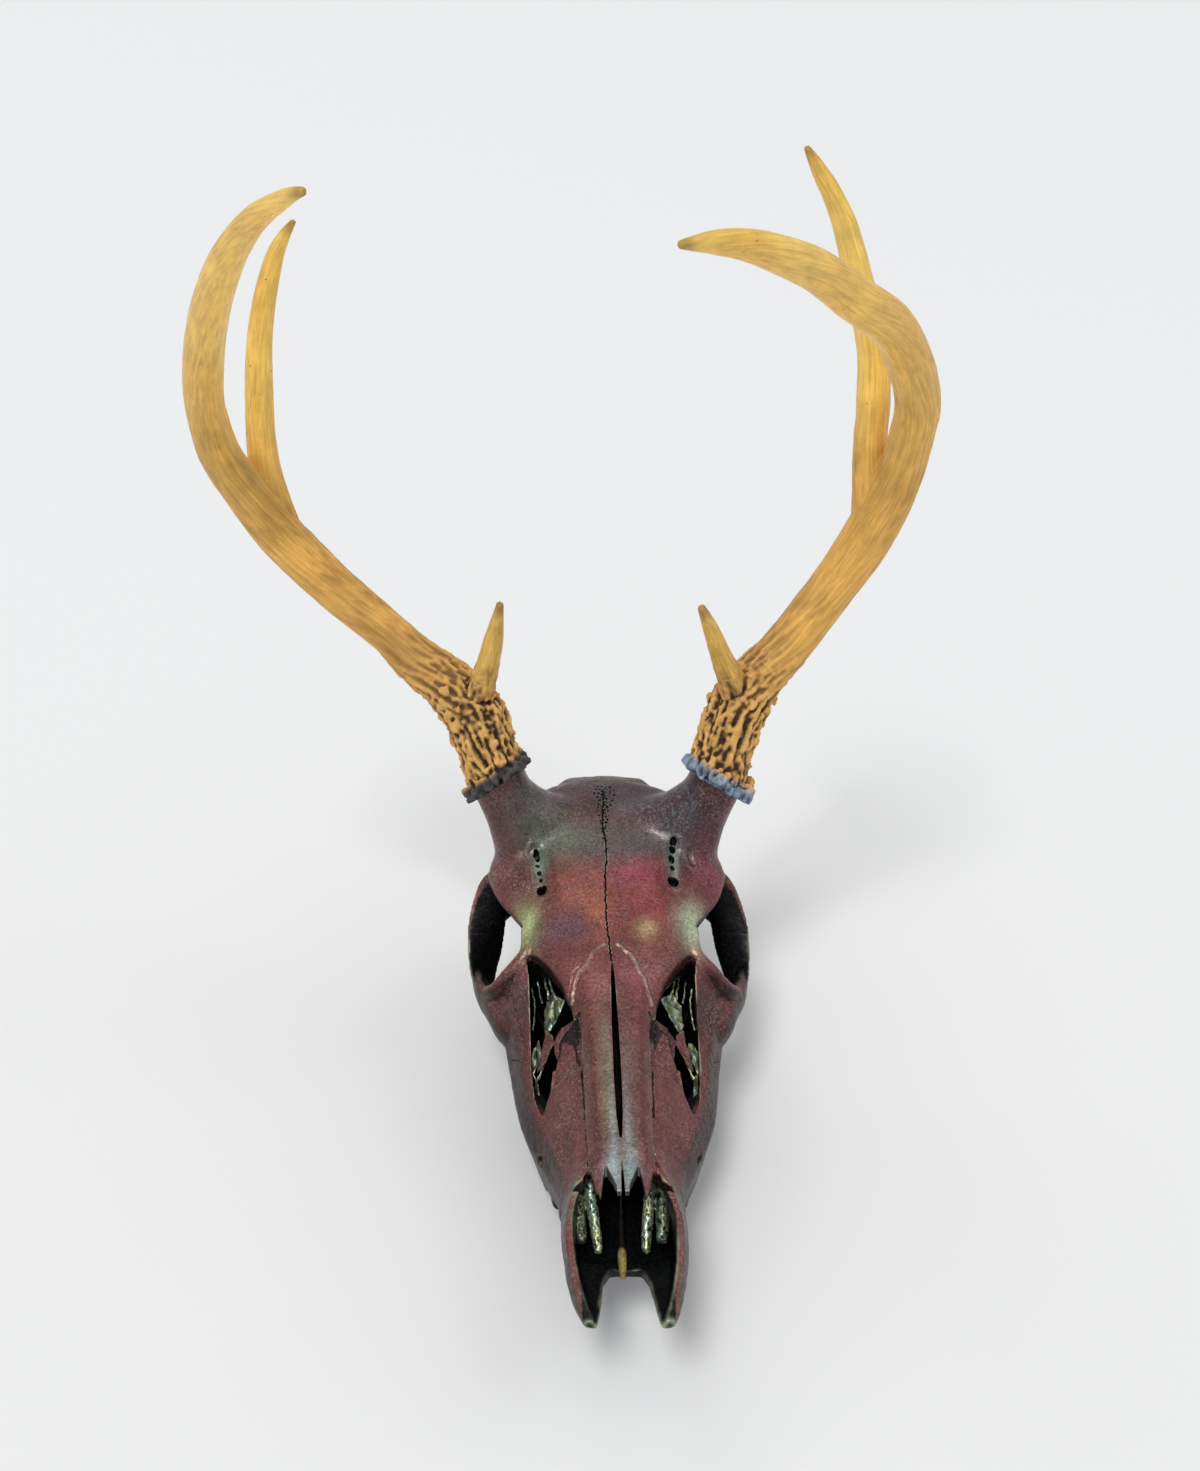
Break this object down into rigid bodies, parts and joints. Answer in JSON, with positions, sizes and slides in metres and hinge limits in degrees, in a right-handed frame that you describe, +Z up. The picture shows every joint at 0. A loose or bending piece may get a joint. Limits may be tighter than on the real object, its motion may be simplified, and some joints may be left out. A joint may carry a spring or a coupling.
{
  "type": "painted deer skull with antlers",
  "caption": "White-tailed buck skull without its lower jaw, with both antlers, its bone decorated with colour-shift paint.",
  "frame": {"origin": "middle of the bounding box at the floor that the skull rests on", "axes": "+Z up from the floor, the nose points along -Y, +X is the animal's own left"},
  "size_m": [0.3034, 0.2938, 0.3937],
  "materials": {
    "braincase": "satin paint over bone, brown rose",
    "frontal": "satin colour-shift paint over bone, slate to rose",
    "nasal": "metallic colour-shift paint over bone",
    "maxilla": "satin colour-shift paint over bone, dusty red",
    "premaxilla": "dark teal paint with bright metal edges",
    "cheekbone": "satin colour-shift paint over bone, rose to black",
    "turbinate": "metallic green gold paint over rough bone",
    "vomer": "thin bone, yellow brown",
    "antler_base": "pearled brown antler",
    "brow_tine": "smooth tan antler",
    "antler_beam": "streaked golden brown antler",
    "back_tine": "smooth honey antler",
    "antler_tip": "smooth cream and honey antler"
  },
  "bodies": {
    "root": {"braincase": "braincase", "vomer": "vomer", "frontal_left": "frontal", "frontal_right": "frontal", "nasal_left": "nasal", "nasal_right": "nasal", "maxilla_left": "maxilla", "maxilla_right": "maxilla", "premaxilla_left": "premaxilla", "premaxilla_right": "premaxilla", "cheekbone_left": "cheekbone", "cheekbone_right": "cheekbone", "turbinate_left": "turbinate", "turbinate_right": "turbinate", "antler_base_left": "antler_base", "antler_base_right": "antler_base", "brow_tine_left": "brow_tine", "brow_tine_right": "brow_tine", "antler_beam_left": "antler_beam", "antler_beam_right": "antler_beam", "back_tine_left": "back_tine", "back_tine_right": "back_tine", "antler_tip_left": "antler_tip", "antler_tip_right": "antler_tip"}
  },
  "joints": []
}
